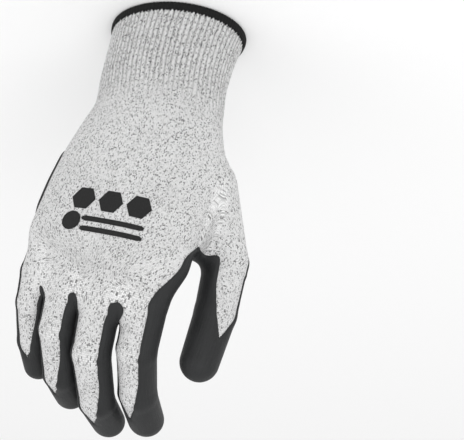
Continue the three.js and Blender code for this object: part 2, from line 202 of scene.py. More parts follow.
# Fingers' pieces lie above this height, and a piece with fewer triangles than this isn't made
FINGER_BOTTOM = 120.0
FEWEST_TRIANGLES = 20


# -------- small maths
def unit(v):
    v = np.asarray(v, float)
    return v / np.linalg.norm(v)


def turn_x(degrees):
    c, s = np.cos(np.radians(degrees)), np.sin(np.radians(degrees))
    return np.array([[1, 0, 0], [0, c, -s], [0, s, c]])


def turn_y(degrees):
    c, s = np.cos(np.radians(degrees)), np.sin(np.radians(degrees))
    return np.array([[c, 0, s], [0, 1, 0], [-s, 0, c]])


def smooth(x, low, high):
    """A smooth step from 0 at low to 1 at high."""
    t = np.clip((x - low) / (high - low), 0, 1)
    return t * t * (3 - 2 * t)


def join(a, b, k):
    """The lesser of two distances, rounded over k where they are near each other."""
    h = np.maximum(k - np.abs(a - b), 0) / k
    return np.minimum(a, b) - h * h * k / 4


def signed_power(x, power):
    return np.sign(x) * np.abs(x) ** power


def way_round(count):
    """Angles of count places evenly round a circle."""
    return np.arange(count) / count * FULL_TURN


def halves(quads):
    return np.concatenate([quads[:, [0, 1, 2]], quads[:, [0, 2, 3]]])


# -------- skeleton, from the frame's hinges
JOINTS = {joint["name"]: joint for joint in frame["joints"]}


def hinge(name):
    return np.array(JOINTS[name]["pos_m"]) / MM


WRIST = hinge("wrist_flex")
HAND = turn_x(-WRIST_TILT) @ turn_y(-WRIST_LEAN)


def in_world(point):
    """A place in the straight hand, in the world."""
    return HAND @ (np.array(point, float) - (0, 0, WRIST_HEIGHT)) + WRIST


class Limb:
    """A finger or the thumb: joint places, radii of the knit, section directions and backs."""

    def __init__(self, name, places, radii, side, flatten, bodies):
        self.name = name
        self.places = [np.array(p, float) for p in places]
        self.radii = radii
        self.side = unit(side)
        self.flatten = flatten
        self.bodies = bodies
        pairs = list(zip(self.places, self.places[1:]))
        self.dirs = [unit(b - a) for a, b in pairs]
        self.lengths = [np.linalg.norm(b - a) for a, b in pairs]
        self.starts = np.concatenate([[0], np.cumsum(self.lengths)])
        self.backs = [unit(np.cross(d, self.side)) for d in self.dirs]

    def section(self, p, i):
        """Distance from section i, length along, place across and to the back, and radius."""
        q = p - self.places[i]
        along = q @ self.dirs[i]
        t = np.clip(along / self.lengths[i], 0, 1)
        c = q - np.outer(t * self.lengths[i], self.dirs[i])
        across, depth = c @ self.side, c @ self.backs[i]
        size = np.sqrt((c * c).sum(1) + depth**2 * (1 / self.flatten[i] ** 2 - 1))
        radius = self.radii[i] + (self.radii[i + 1] - self.radii[i]) * t
        return size - radius, along + self.starts[i], across, depth, radius

    def field(self, p):
        result = self.section(p, 0)[0]
        for i in range(1, len(self.dirs)):
            result = join(result, self.section(p, i)[0], SECTION_JOIN)
        return result

    def local(self, p):
        """Length along the limb, turn round it from its back, height to its tongue, and radius."""
        blend = [np.array(v) for v in self.section(p, 0)[1:]]
        turn = np.radians(TONGUE_TURN[self.name])
        height = blend[2] * np.cos(turn) + blend[1] * np.sin(turn)
        for i in range(1, len(self.dirs)):
            here = self.section(p, i)[1:]
            past = (p - self.places[i]) @ unit(self.dirs[i - 1] + self.dirs[i])
            w = smooth(past, -PATTERN_ZONE, PATTERN_ZONE)
            blend = [old * (1 - w) + new * w for old, new in zip(blend, here)]
            w = smooth(past, -TONGUE_ZONE, TONGUE_ZONE)
            height = height * (1 - w) + (here[2] * np.cos(turn) + here[1] * np.sin(turn)) * w
        along, across, depth, radius = blend
        return along, np.arctan2(across, depth), height, radius


def make_finger(name):
    web, last, widths, lean, curls = FINGERS[name]
    root = HAND @ turn_y(lean) @ turn_x(curls[0])
    end = HAND @ turn_y(lean) @ turn_x(curls[0] + curls[1] + curls[2] * (1 + TIP_RATIO))
    hinges = [name + "_knuckle", name + "_bend", name + "_tip"]
    places = [hinge(h) for h in hinges]
    places.insert(0, places[0] - web * root[:, 2])
    places.append(places[-1] + last * end[:, 2])
    radii = [w / 2 - SKIN for w in (widths[0],) + tuple(widths)]
    radii[0] += KNUCKLE_SWELL
    bodies = ["hand", name + "_proximal", name + "_middle", name + "_distal"]
    return Limb(name, places, radii, root[:, 0], [FLATTEN] * 4, bodies)


def make_thumb():
    towards = unit(THUMB_TOWARDS)
    side = unit(np.cross(THUMB_BACK, towards))
    back = np.cross(towards, side)
    axes = HAND @ np.stack([side, back, towards], 1)
    hinges = ["thumb_base", "thumb_tip"]
    places = [hinge(h) for h in hinges]
    places.insert(0, in_world(THUMB_HEEL))
    places.append(places[-1] + THUMB_LAST * (axes @ turn_x(THUMB_CURL))[:, 2])
    radii = [THUMB_HEEL_RADIUS] + [w / 2 - SKIN for w in THUMB_WIDTHS]
    bodies = ["hand", "thumb_proximal", "thumb_distal"]
    return Limb("thumb", places, radii, axes[:, 0], [1, FLATTEN, FLATTEN], bodies)


FINGER_NAMES = list(FINGERS)
LIMBS = {name: make_finger(name) for name in FINGER_NAMES}
THUMB = make_thumb()
ALL_LIMBS = {**LIMBS, "thumb": THUMB}
# The fingers are meshed two at a time, so that neighbours stay apart
FINGER_PAIRS = (["index", "ring"], ["middle", "little"])

# -------- the torso: cuff, wrist and palm
LOWEST, HIGHEST = -10.0, 170.0
LEVELS = np.arange(LOWEST, HIGHEST, TABLE_STEP)
KERNEL = np.exp(-0.5 * (np.arange(-TABLE_REACH, TABLE_REACH + 1) / TABLE_SPREAD) ** 2)
KERNEL /= KERNEL.sum()


def smooth_column(i):
    """A column of the torso's table at every level, smoothed."""
    margin = TABLE_REACH * TABLE_STEP
    levels = np.arange(LOWEST - margin, HIGHEST + margin, TABLE_STEP)
    return np.convolve(np.interp(levels, TORSO[:, 0], TORSO[:, i]), KERNEL, "valid")[:len(LEVELS)]


COLUMNS = [smooth_column(i) for i in range(1, 5)]


def outline_at(z):
    """Middle, half width, half depth and squareness of the outline at a height."""
    return [np.interp(z, LEVELS, column) for column in COLUMNS]


def straighten(p):
    """Places in the world, moved to the straight hand."""
    w = smooth(p[:, 2] - WRIST[2] + WRIST_HEIGHT, *WRIST_ZONE)
    q = p - WRIST
    full = q @ HAND
    return q + (full - q) * w[:, None] + (0, 0, WRIST_HEIGHT)


def torso_field(q):
    middle, a, b, n = outline_at(q[:, 2])
    x, y = q[:, 0] - middle, q[:, 1]
    rho = (np.abs(x / a) ** n + np.abs(y / b) ** n) ** (1 / n)
    side = np.hypot(x, y) * (1 - 1 / np.maximum(rho, 1e-3))
    top = TORSO_TOP + TORSO_SLANT * np.minimum(q[:, 0], 0)
    return -join(-side, top - q[:, 2], TORSO_ROUNDING)


def web_field(p):
    result = np.full(len(p), 1e3)
    for (one, other), (past, radius) in WEBS.items():
        first, second = LIMBS[one], LIMBS[other]
        towards = unit(first.dirs[0] + second.dirs[0])
        root = (first.places[0] + second.places[0]) / 2
        crotch = (first.places[1] + second.places[1]) / 2 + (past - radius) * towards
        q = p - root
        length = np.linalg.norm(crotch - root)
        axis = unit(crotch - root)
        t = np.clip(q @ axis, 0, length)
        result = np.minimum(result, np.linalg.norm(q - np.outer(t, axis), axis=1) - radius)
    return result


def thumb_web(q):
    """The slab between thumb and index finger: distances past any side and its free edge, and height."""
    a, b, c = (np.array(corner, float) for corner in THUMB_WEB)
    normal = unit(np.cross(b - a, c - a))
    if normal[1] < 0:
        normal = -normal
    middle = (a + b + c) / 3
    sides = []
    for start, end in ((a, b), (b, c), (c, a)):
        out = unit(np.cross(end - start, normal))
        out = out if (start - middle) @ out > 0 else -out
        sides.append((q - start) @ out)
    return np.maximum.reduce(sides), sides[0], (q - a) @ normal


def thumb_web_field(q):
    past, _, height = thumb_web(q)
    return np.hypot(np.maximum(past, 0), height) - THUMB_WEB_RADIUS


def parts_at(p):
    """Places in the straight hand; distances from torso, fingers and thumb."""
    q = straighten(p)
    torso = torso_field(q)
    fingers = {name: limb.field(p) for name, limb in LIMBS.items()}
    return q, torso, fingers, THUMB.field(p)


def knit_field(p, keep=FINGER_NAMES):
    """The knit's outer face, as a distance; keep names the fingers that are present."""
    q, torso, fingers, thumb = parts_at(p)
    base = join(join(torso, web_field(p), WEB_JOIN), thumb_web_field(q), THUMB_JOIN)
    stalls = fingers[keep[0]]
    for name in keep[1:]:
        stalls = np.minimum(stalls, fingers[name])
    return join(join(base, stalls, FINGER_JOIN), thumb, THUMB_JOIN)


def gradient(p, keep):
    step = 0.15
    columns = []
    for axis in np.eye(3):
        columns.append(knit_field(p + step * axis, keep) - knit_field(p - step * axis, keep))
    return np.stack(columns, 1) / (2 * step)


def settle(p, keep, rounds):
    """Moves places on to the knit's outer face."""
    for _ in range(rounds):
        slope = gradient(p, keep)
        size = np.maximum((slope * slope).sum(1), 0.1)
        p = p - slope * (knit_field(p, keep) / size)[:, None]
    return p


# -------- meshing
def surface(low, high, step, keep):
    """Quads of the knit's outer face inside a box, split to triangles."""
    axes = [np.arange(l, h, step) for l, h in zip(low, high)]
    shape = [len(a) for a in axes]
    field = np.empty(shape)
    for i, x in enumerate(axes[0]):
        yy, zz = np.meshgrid(axes[1], axes[2], indexing="ij")
        places = np.stack([np.full(yy.size, x), yy.ravel(), zz.ravel()], 1)
        field[i] = knit_field(places, keep).reshape(yy.shape)
    inside = field < 0
    count = np.zeros([s - 1 for s in shape], int)
    for dx, dy, dz in np.ndindex(2, 2, 2):
        count += inside[dx:shape[0] - 1 + dx, dy:shape[1] - 1 + dy, dz:shape[2] - 1 + dz]
    cells = (count > 0) & (count < 8)
    index = np.full(cells.shape, -1)
    index[cells] = np.arange(cells.sum())
    where = np.argwhere(cells)
    points = np.stack([axes[i][where[:, i]] + step / 2 for i in range(3)], 1)
    quads = []
    for axis in range(3):
        u, v = (axis + 1) % 3, (axis + 2) % 3
        first = np.take(inside, np.arange(shape[axis] - 1), axis)
        second = np.take(inside, np.arange(1, shape[axis]), axis)
        edges = np.argwhere(first != second)
        low_enough = (edges[:, u] < shape[u] - 1) & (edges[:, v] < shape[v] - 1)
        edges = edges[low_enough & (edges[:, u] > 0) & (edges[:, v] > 0)]
        flips = first[tuple(edges.T)]
        corners = []
        for du, dv in ((0, 0), (-1, 0), (-1, -1), (0, -1)):
            cell = edges.copy()
            cell[:, u] += du
            cell[:, v] += dv
            corners.append(index[tuple(cell.T)])
        quad = np.stack(corners, 1)
        quad[~flips] = quad[~flips][:, ::-1]
        quads.append(quad)
    return relax(points, np.concatenate(quads), keep)


def relax(points, quads, keep, rounds=3):
    """Evens out the mesh, keeps it on the face and splits its quads."""
    ends = np.concatenate([quads[:, [i, (i + 1) % 4]] for i in range(4)])
    ends = np.concatenate([ends, ends[:, ::-1]])
    degree = np.bincount(ends[:, 0], minlength=len(points))[:, None]
    for _ in range(rounds):
        total = [np.bincount(ends[:, 0], points[ends[:, 1], i], len(points)) for i in range(3)]
        total = np.stack(total, 1)
        points = 0.4 * points + 0.6 * total / np.maximum(degree, 1)
        points = settle(points, keep, 1)
    points = settle(points, keep, 2)
    return points, halves(quads)


def ring_grid(rings, columns):
    """Triangles of a closed tube of rings, columns running round it."""
    i, j = np.meshgrid(np.arange(rings - 1), np.arange(columns), indexing="ij")
    a = i * columns + j
    b = i * columns + (j + 1) % columns
    return halves(np.stack([a, b, b + columns, a + columns], -1).reshape(-1, 4))


def outline_shares():
    """The share of the way round the outline from its back, at each height and outline angle."""
    heights = np.arange(0, TORSO[-1, 0] + OUTLINE_STEP, OUTLINE_STEP)
    angles = np.linspace(0, PI, 361)
    _, a, b, n = outline_at(heights)
    e = (2 / n)[:, None]
    x = a[:, None] * np.abs(np.sin(angles)) ** e
    y = b[:, None] * signed_power(np.cos(angles), e)
    steps = np.hypot(np.diff(x, axis=1), np.diff(y, axis=1))
    length = np.concatenate([np.zeros((len(heights), 1)), np.cumsum(steps, 1)], 1)
    return angles, length / length[:, -1:]


TABLE_ANGLES, TABLE_SHARE = outline_shares()


def torso_uv(q):
    """The way round the torso from the middle of its back, in millimetres of the pattern."""
    height = np.minimum(q[:, 2], PATTERN_TOP)
    middle, a, b, n = outline_at(height)
    x, y = (q[:, 0] - middle) / a, q[:, 1] / b
    angle = np.arctan2(np.abs(x) ** (n / 2), signed_power(y, n / 2))
    row = np.clip(height / OUTLINE_STEP, 0, len(TABLE_SHARE) - 1.001)
    col = np.clip(angle / PI * (len(TABLE_ANGLES) - 1), 0, len(TABLE_ANGLES) - 1.001)
    i, j = row.astype(int), col.astype(int)
    s, t = row - i, col - j
    share = (TABLE_SHARE[i, j] * (1 - s) + TABLE_SHARE[i + 1, j] * s) * (1 - t)
    share += (TABLE_SHARE[i, j + 1] * (1 - s) + TABLE_SHARE[i + 1, j + 1] * s) * t
    return np.sign(q[:, 0] - middle) * share * PATTERN_HALF


def cuff_tube():
    """The knit's outer face from the hem to above the wrist, ring by ring."""
    columns = RIB_COUNT * RIB_COLUMNS
    heights = np.arange(RING_BOTTOM, RING_TOP + 0.01, RING_STEP)
    heights[-1] = RING_TOP
    u = np.arange(columns) / columns * 2 - 1
    points = []
    for z in heights:
        middle, a, b, n = outline_at(z)
        row = int(round(z / OUTLINE_STEP))
        angle = np.interp(np.abs(u), TABLE_SHARE[row], TABLE_ANGLES)
        x = middle + a * np.sign(u) * np.abs(np.sin(angle)) ** (2 / n)
        y = b * signed_power(np.cos(angle), 2 / n)
        q = np.stack([x, y, np.full(columns, z)], 1)
        p = (q - (0, 0, WRIST_HEIGHT)) @ HAND.T + WRIST
        for _ in range(12):
            p = p + (q - straighten(p))
        points.append(p)
    points = np.concatenate(points)
    return points, ring_grid(len(heights), columns)[:, ::-1]


def cut(points, tris, value):
    """Splits triangles where a value on the vertices changes sign."""
    value = np.where(np.abs(value) < 1e-5, 1e-5, value)
    negative = value[tris] < 0
    total = negative.sum(1)
    crossed = (total == 1) | (total == 2)
    some, sign = tris[crossed], negative[crossed]
    lone = np.where(total[crossed] == 1, sign.argmax(1), (~sign).argmax(1))
    rows = np.arange(len(some))
    a, b, c = some[rows, lone], some[rows, (lone + 1) % 3], some[rows, (lone + 2) % 3]
    edges = np.concatenate([np.stack([a, b], 1), np.stack([a, c], 1)])
    edges.sort(1)
    unique, inverse = np.unique(edges, axis=0, return_inverse=True)
    inverse = inverse.ravel()
    v0, v1 = value[unique[:, 0]], value[unique[:, 1]]
    t = (v0 / (v0 - v1))[:, None]
    fresh = points[unique[:, 0]] * (1 - t) + points[unique[:, 1]] * t
    ab, ac = len(points) + inverse[:len(some)], len(points) + inverse[len(some):]
    added = [np.stack(corners, 1) for corners in ((a, ab, ac), (ab, b, c), (ab, c, ac))]
    return np.concatenate([points, fresh]), np.concatenate([tris[~crossed], *added])


def used_only(points, tris):
    """The same triangles, without the points that none of them uses."""
    used, inverse = np.unique(tris, return_inverse=True)
    return points[used], inverse.reshape(tris.shape)


def nearest_gap(p):
    """Below zero where the middle or the little finger is the nearest one."""
    f = {name: limb.field(p) for name, limb in LIMBS.items()}
    return np.minimum(f["middle"], f["little"]) - np.minimum(f["index"], f["ring"])


def whole_surface():
    """The knit's outer face: the cuff's tube, the palm, and the fingers as two meshes of two each."""
    pieces = [cuff_tube()]
    points, tris = surface(*PALM_BOX, GRID_STEP, FINGER_NAMES)
    for level, sign in ((RING_TOP, 1), (SPLIT_HEIGHT, -1)):
        points, tris = cut(points, tris, straighten(points)[:, 2] - level)
        centre = straighten(points[tris].mean(1))[:, 2] - level
        tris = tris[centre * sign > 0]
    pieces.append(used_only(points, tris))
    for keep, sign in zip(FINGER_PAIRS, (1, -1)):
        points, tris = surface(*FINGER_BOX, GRID_STEP, keep)
        points, tris = cut(points, tris, straighten(points)[:, 2] - SPLIT_HEIGHT)
        tris = tris[straighten(points[tris].mean(1))[:, 2] > SPLIT_HEIGHT]
        points, tris = used_only(points, tris)
        points, tris = cut(points, tris, nearest_gap(points))
        tris = tris[nearest_gap(points[tris].mean(1)) * sign > 0]
        pieces.append(used_only(points, tris))
    offsets = np.cumsum([0] + [len(points) for points, _ in pieces])
    all_tris = [tris + offset for (_, tris), offset in zip(pieces, offsets)]
    return np.concatenate([points for points, _ in pieces]), np.concatenate(all_tris)


# -------- what lies where on the surface
def palm_edge(q):
    """Where the coat ends on the palm's sides, to the back."""
    line = SIDE_LINE - WRIST_DROP * smooth(WRIST_DROP_TOP - q[:, 2], 0.0, WRIST_DROP_LENGTH)
    for amount, side, across, start, end in SIDE_CHANGES:
        there = smooth(q[:, 2], *start) * (1 - smooth(q[:, 2], *end))
        line += amount * smooth(side * q[:, 0], *across) * there
    return line


def tongue_edge(limb, along, radius):
    """The height over a limb's middle line above which its knit is bare."""
    half_angle = TONGUE_ANGLE
    if limb is THUMB:
        past = smooth(along - limb.starts[1], *HEEL_ZONE)
        half_angle = HEEL_ANGLE + (TONGUE_ANGLE - HEEL_ANGLE) * past
    end = limb.starts[-1] + limb.radii[-1] - TONGUE_FROM_TIP[limb.name]
    close = np.maximum(along - (end - TONGUE_TAPER), 0) / TONGUE_TAPER
    narrow = np.cos(np.radians(half_angle * np.clip(1 - close**TONGUE_ROUNDING, 0, 1)))
    return radius * FLATTEN * np.where(close < 1, narrow, close)


def describe(p):
    """Pattern coordinates and period, coat value (below zero under the coat) and limb of each place."""
    q, torso, fingers, thumb = parts_at(p)
    nearest = np.stack([fingers[name] for name in FINGER_NAMES] + [thumb], 1).argmin(1)
    weight = smooth(torso, *LIMB_ZONE)
    off_web = smooth(web_field(p), *WEB_ZONE)
    u, v = torso_uv(q), q[:, 2].copy()
    bare = q[:, 1] - palm_edge(q)
    period = np.full(len(p), 2 * PATTERN_HALF)
    for number, limb in enumerate(ALL_LIMBS.values()):
        mine = nearest == number
        along, angle, height, radius = limb.local(p[mine])
        start = straighten(limb.places[0][None] + limb.backs[0] * limb.radii[0])
        w = weight[mine]
        u[mine] = u[mine] * (1 - w) + w * (torso_uv(start)[0] + radius * angle)
        v[mine] = v[mine] * (1 - w) + w * (start[0, 2] + along)
        period[mine] = np.where(w > 0.5, FULL_TURN * radius, 2 * PATTERN_HALF)
        if limb is not THUMB:
            w = w * off_web[mine] * smooth(along - limb.starts[1], *ROOT_ZONE)
        bare[mine] = bare[mine] * (1 - w) + w * (height - tongue_edge(limb, along, radius))
    _, edge, above = thumb_web(q)
    bare_line = THUMB_WEB_BARE + THUMB_WEB_EXTRA * smooth(q[:, 0], *THUMB_WEB_EXTRA_ZONE)
    bare_web = np.minimum(above + THUMB_WEB_UNDER, bare_line - edge)
    w = 1 - smooth(thumb_web_field(q), *THUMB_WEB_ZONE)
    bare = bare * (1 - w) + bare_web * w
    low_edge = LOW_LINE + LOW_BOW * q[:, 0] ** 2 + LOW_LEAN * np.maximum(q[:, 0], 0) - q[:, 2]
    return dict(q=q, u=u, v=v, coat=np.maximum(bare, low_edge), nearest=nearest, period=period)


def cut_values(limb, p):
    """For each cut across a limb, the distance past it."""
    first_cut = THUMB_FIRST_CUT if limb is THUMB else FIRST_CUT
    values = [(p - (limb.places[1] - limb.dirs[0] * first_cut)) @ limb.dirs[0]]
    for i in range(1, len(limb.dirs) - 1):
        values.append((p - (limb.places[i] + limb.places[i + 1]) / 2) @ limb.dirs[i])
    return values


# The frame's pieces of the hand's knit beside hand_knit itself
HAND_SECTIONS = {"thumb_heel_knit"} | {name + "_root_knit" for name in FINGER_NAMES}
PIECES = ["cuff_rib", "hand"] + [body for limb in ALL_LIMBS.values() for body in limb.bodies[1:]]


def piece_of(p, info):
    """The number in PIECES of each place's piece."""
    height = info["q"][:, 2]
    piece = np.where(height < CUFF_TOP, 0, 1)
    for number, limb in enumerate(ALL_LIMBS.values()):
        mine = (info["nearest"] == number) & ((height > FINGER_BOTTOM) | (limb is THUMB))
        for step, value in enumerate(cut_values(limb, p)):
            piece[mine & (value > 0)] = PIECES.index(limb.bodies[1]) + step
    return piece


# -------- Blender meshes
def add_mesh(name, points, tris, material, uv, normals=None, vectors=None, values=None):
    """A smooth mesh object with the stitch pattern's coordinates; vectors and values are its attributes."""
    mesh = bpy.data.meshes.new(name)
    mesh.vertices.add(len(points))
    mesh.vertices.foreach_set("co", (points * MM).astype(np.float32).ravel())
    mesh.loops.add(tris.size)
    mesh.loops.foreach_set("vertex_index", tris.astype(np.int32).ravel())
    mesh.polygons.add(len(tris))
    mesh.polygons.foreach_set("loop_start", np.arange(0, tris.size, 3, dtype=np.int32))
    mesh.polygons.foreach_set("use_smooth", np.ones(len(tris), bool))
    mesh.update(calc_edges=True)
    for key, data in (vectors or {}).items():
        layer = mesh.attributes.new(key, "FLOAT_VECTOR", "POINT")
        layer.data.foreach_set("vector", data.astype(np.float32).ravel())
    for key, data in (values or {}).items():
        layer = mesh.attributes.new(key, "FLOAT", "POINT")
        layer.data.foreach_set("value", data.astype(np.float32))
    layer = mesh.uv_layers.new(name="stitch")
    layer.data.foreach_set("uv", uv.astype(np.float32).ravel())
    mesh.materials.append(material)
    if normals is not None:
        mesh.normals_split_custom_set_from_vertices(normals.astype(np.float32))
    obj = bpy.data.objects.new(name, mesh)
    bpy.context.scene.collection.objects.link(obj)
    return obj


def corner_normals(points, tris):
    """Directions at the points, from the triangles that meet there."""
    a, b, c = points[tris[:, 0]], points[tris[:, 1]], points[tris[:, 2]]
    face = np.cross(b - a, c - a)
    total = np.zeros_like(points)
    for i in range(3):
        for axis in range(3):
            total[:, axis] += np.bincount(tris[:, i], face[:, axis], len(points))
    return total / np.maximum(np.linalg.norm(total, axis=1), 1e-9)[:, None]


def shell(outer, inner, tris):
    """A closed wall between two copies of a surface."""
    edges = np.concatenate([tris[:, [0, 1]], tris[:, [1, 2]], tris[:, [2, 0]]])
    size = len(outer)
    key = edges.min(1).astype(np.int64) * size + edges.max(1)
    _, first, counts = np.unique(key, return_index=True, return_counts=True)
    rim = edges[first[counts == 1]]
    a, b = rim[:, 0], rim[:, 1]
    walls = np.concatenate([np.stack([b, a, a + size], 1), np.stack([b, a + size, b + size], 1)])
    return np.concatenate([outer, inner]), np.concatenate([tris, tris[:, ::-1] + size, walls])


def unwrap(u, v, period, tris):
    """Pattern coordinates on face corners, mended where they jump round the far side."""
    cu = u[tris]
    high = cu.max(1, keepdims=True)
    jump = (high - cu) > period[tris].min(1, keepdims=True) / 2
    cu = np.where(jump, cu + period[tris], cu)
    return np.stack([cu, v[tris]], -1).reshape(-1, 2)


# -------- materials
class Nodes:
    def __init__(self, name):
        self.material = bpy.data.materials.new(name)
        self.material.use_nodes = True
        self.tree = self.material.node_tree
        self.shader = self.tree.nodes["Principled BSDF"]

    def add(self, kind, inputs=None, **settings):
        node = self.tree.nodes.new("ShaderNode" + kind)
        for key, value in settings.items():
            setattr(node, key, value)
        for key, value in (inputs or {}).items():
            if isinstance(value, bpy.types.NodeSocket):
                self.tree.links.new(value, node.inputs[key])
            else:
                node.inputs[key].default_value = value
        return node

    def math(self, operation, *values):
        return self.add("Math", dict(enumerate(values)), operation=operation).outputs[0]

    def plus(self, *values):
        return self.math("ADD", *values)

    def times(self, *values):
        return self.math("MULTIPLY", *values)

    def noise(self, vector, scale, detail, dimensions="2D"):
        inputs = {"Vector": vector, "Scale": scale, "Detail": detail}
        return self.add("TexNoise", inputs, noise_dimensions=dimensions).outputs[0]

    def mix(self, factor, a, b):
        return self.add("Mix", {0: factor, 6: a, 7: b}, data_type="RGBA").outputs[2]

    def look(self, **inputs):
        """Links sockets to the shader's inputs, and sets those that are numbers or colours."""
        for key, value in inputs.items():
            socket = self.shader.inputs[key.replace("_", " ")]
            if isinstance(value, bpy.types.NodeSocket):
                self.tree.links.new(value, socket)
            else:
                socket.default_value = value

    def bump(self, height, strength, distance):
        inputs = {"Strength": strength, "Distance": distance * MM, "Height": height}
        self.look(Normal=self.add("Bump", inputs).outputs[0])


def grey(value, tint=0.0):
    """A grey, turned to blue by a share tint."""
    return (value * (1 - tint), value, value * (1 + tint), 1.0)


def stitches(m):
    """Pattern coordinates, the height of the yarn in knit loops, and a random number for every half loop."""
    uv = m.add("UVMap", uv_map="stitch").outputs[0]
    parts = m.add("SeparateXYZ", {0: uv})
    u = m.math("DIVIDE", parts.outputs[0], WALE)
    inside = m.math("SUBTRACT", m.math("FRACT", u), 0.5)
    lean = m.times(m.math("ABSOLUTE", inside), 0.7)
    v = m.plus(m.math("DIVIDE", parts.outputs[1], COURSE), lean)
    side = m.math("SUBTRACT", m.math("ABSOLUTE", m.times(inside, 4.0)), 1.0)
    leg = m.math("SUBTRACT", 1.0, m.math("ABSOLUTE", side))
    row = m.math("SINE", m.times(m.math("FRACT", v), PI))
    height = m.times(m.math("POWER", leg, 0.6), m.math("POWER", row, 0.6))
    half = m.math("FLOOR", m.times(u, 2.0))
    cell = m.add("CombineXYZ", {0: half, 1: m.math("FLOOR", v), 2: 0.5})
    random = m.add("TexWhiteNoise", {"Vector": cell.outputs[0]}, noise_dimensions="3D")
    return uv, height, random.outputs["Value"]


# The yarn's grey for a half loop's random number: places and values of its ramp
KNIT_GREYS = ((0.0, 0.16), (0.06, 0.26), (0.12, 0.52), (0.30, 0.78), (0.50, 0.92), (1.0, 0.97))


def knit_material():
    m = Nodes("heather_knit")
    uv, height, random = stitches(m)
    ramp = m.add("ValToRGB", {0: random})
    ramp.color_ramp.interpolation = "LINEAR"
    ends = ramp.color_ramp.elements[0], ramp.color_ramp.elements[1]
    for end, (place, value) in zip(ends, (KNIT_GREYS[0], KNIT_GREYS[-1])):
        end.position = place
        end.color = grey(value)
    for place, value in KNIT_GREYS[1:-1]:
        ramp.color_ramp.elements.new(place).color = grey(value)
    fibre = m.noise(uv, 2.6, 3.0)
    cloud = m.noise(uv, 0.06, 2.0)
    fleck = m.times(m.math("SUBTRACT", fibre, 0.5), 0.5)
    # Painted shade: the knit's colour is darker down the sides and in the gaps of each loop, with the yarn's
    # height; the fibre and cloud noise is random tone
    tone_and_painted_shade = m.plus(m.times(height, 0.42), m.plus(0.60, fleck))
    tone_and_painted_shade = m.times(tone_and_painted_shade, m.plus(0.93, m.times(cloud, 0.14)))
    # Painted shade: the knit's colour is darkened in the cuff rib's valleys
    painted_rib_valley_shade = m.add("Attribute", attribute_name="painted_rib_valley_shade").outputs["Fac"]
    tone_and_painted_shade = m.times(tone_and_painted_shade, m.math("SUBTRACT", 1.0, m.times(painted_rib_valley_shade, 0.45)))
    tone_and_painted_shade_rgb = m.add("CombineXYZ", {0: tone_and_painted_shade, 1: tone_and_painted_shade, 2: tone_and_painted_shade})
    colour = m.add("VectorMath", {0: ramp.outputs[0], 1: tone_and_painted_shade_rgb.outputs[0]}, operation="MULTIPLY")
    m.look(Base_Color=colour.outputs[0], Roughness=0.92, Sheen_Weight=0.25, Sheen_Roughness=0.5)
    m.bump(m.plus(height, m.times(fibre, 0.6)), 0.8, 0.35)
    return m.material


def coat_material():
    m = Nodes("black_foam_coat")
    uv, height, _ = stitches(m)
    rest = m.add("Attribute", attribute_name="rest").outputs["Vector"]
    foam = m.noise(rest, 1.9, 3.0, "3D")
    cloud = m.noise(rest, 0.09, 3.0, "3D")
    stretched = m.add("Mapping", {"Vector": uv, "Scale": (1.0, 0.07, 1.0)})
    lines = m.noise(stretched.outputs[0], 1.3, 2.0)
    tone = m.plus(m.times(foam, 0.35), m.times(cloud, 0.45))
    tone = m.plus(tone, m.times(lines, 0.3))
    colour = m.mix(tone, grey(0.002, 0.05), grey(0.030, 0.04))
    m.look(Base_Color=colour, Roughness=m.plus(0.42, m.times(cloud, 0.3)), Specular_IOR_Level=0.3)
    rough = m.plus(m.times(foam, 0.5), m.times(lines, 0.9))
    m.bump(m.plus(rough, m.times(height, 0.25)), 0.6, 0.3)
    return m.material


def thread_material(name, dark, light, twist):
    m = Nodes(name)
    uv = m.add("UVMap", uv_map="stitch").outputs[0]
    noise = m.noise(uv, 3.0, 3.0)
    wave = m.add("TexWave", {"Vector": uv, "Scale": twist, "Distortion": 1.0}, bands_direction="DIAGONAL")
    tone = m.plus(m.times(noise, 0.6), m.times(wave.outputs[1], 0.4))
    m.look(Base_Color=m.mix(tone, grey(dark), grey(light)), Roughness=0.8, Specular_IOR_Level=0.2)
    m.bump(tone, 0.5, 0.2)
    return m.material


def print_material():
    m = Nodes("transfer_print")
    uv, height, _ = stitches(m)
    noise = m.noise(uv, 1.4, 4.0)
    # The print's tone is random noise, and darker between the yarn's loops with its height: painted shade
    colour = m.mix(m.times(noise, m.plus(0.4, m.times(height, 0.6))), grey(0.006), grey(0.035))
    m.look(Base_Color=colour, Roughness=m.plus(0.5, m.times(noise, 0.3)), Specular_IOR_Level=0.2)
    m.bump(height, 0.5, 0.25)
    return m.material


KNIT = knit_material()
COAT = coat_material()
OVERLOCK = thread_material("overlock_thread", 0.002, 0.016, 1.1)
ELASTIC = thread_material("elastic_yarn", 0.55, 0.85, 2.0)
PRINT = print_material()

# -------- camera, lights and floor
# Angles in degrees; the aim and the distance are millimetres
CAMERA_AZIMUTH = 159.2
CAMERA_ELEVATION = 22.9
CAMERA_ROLL = 190.05
CAMERA_DISTANCE = 660.9
CAMERA_LENS = 99.0
CAMERA_AIM = (0.0, 0.0, 110.0)
CAMERA_PAN = 3.78
CAMERA_TILT = 0.21
CAMERA_SENSOR = 36.0
CAMERA_NEAR = 0.01
# Metres and watts: name, place and power of each light
LIGHTS = (("key", (0.55, 0.75, 0.75), 3.6), ("fill", (-0.9, 0.5, 0.5), 1.2))
LIGHT_AIM = (0, 0, 0.1)
LIGHT_SIZE = 0.9
SKY_STRENGTH = 0.94
FLOOR_RADIUS = 3.0


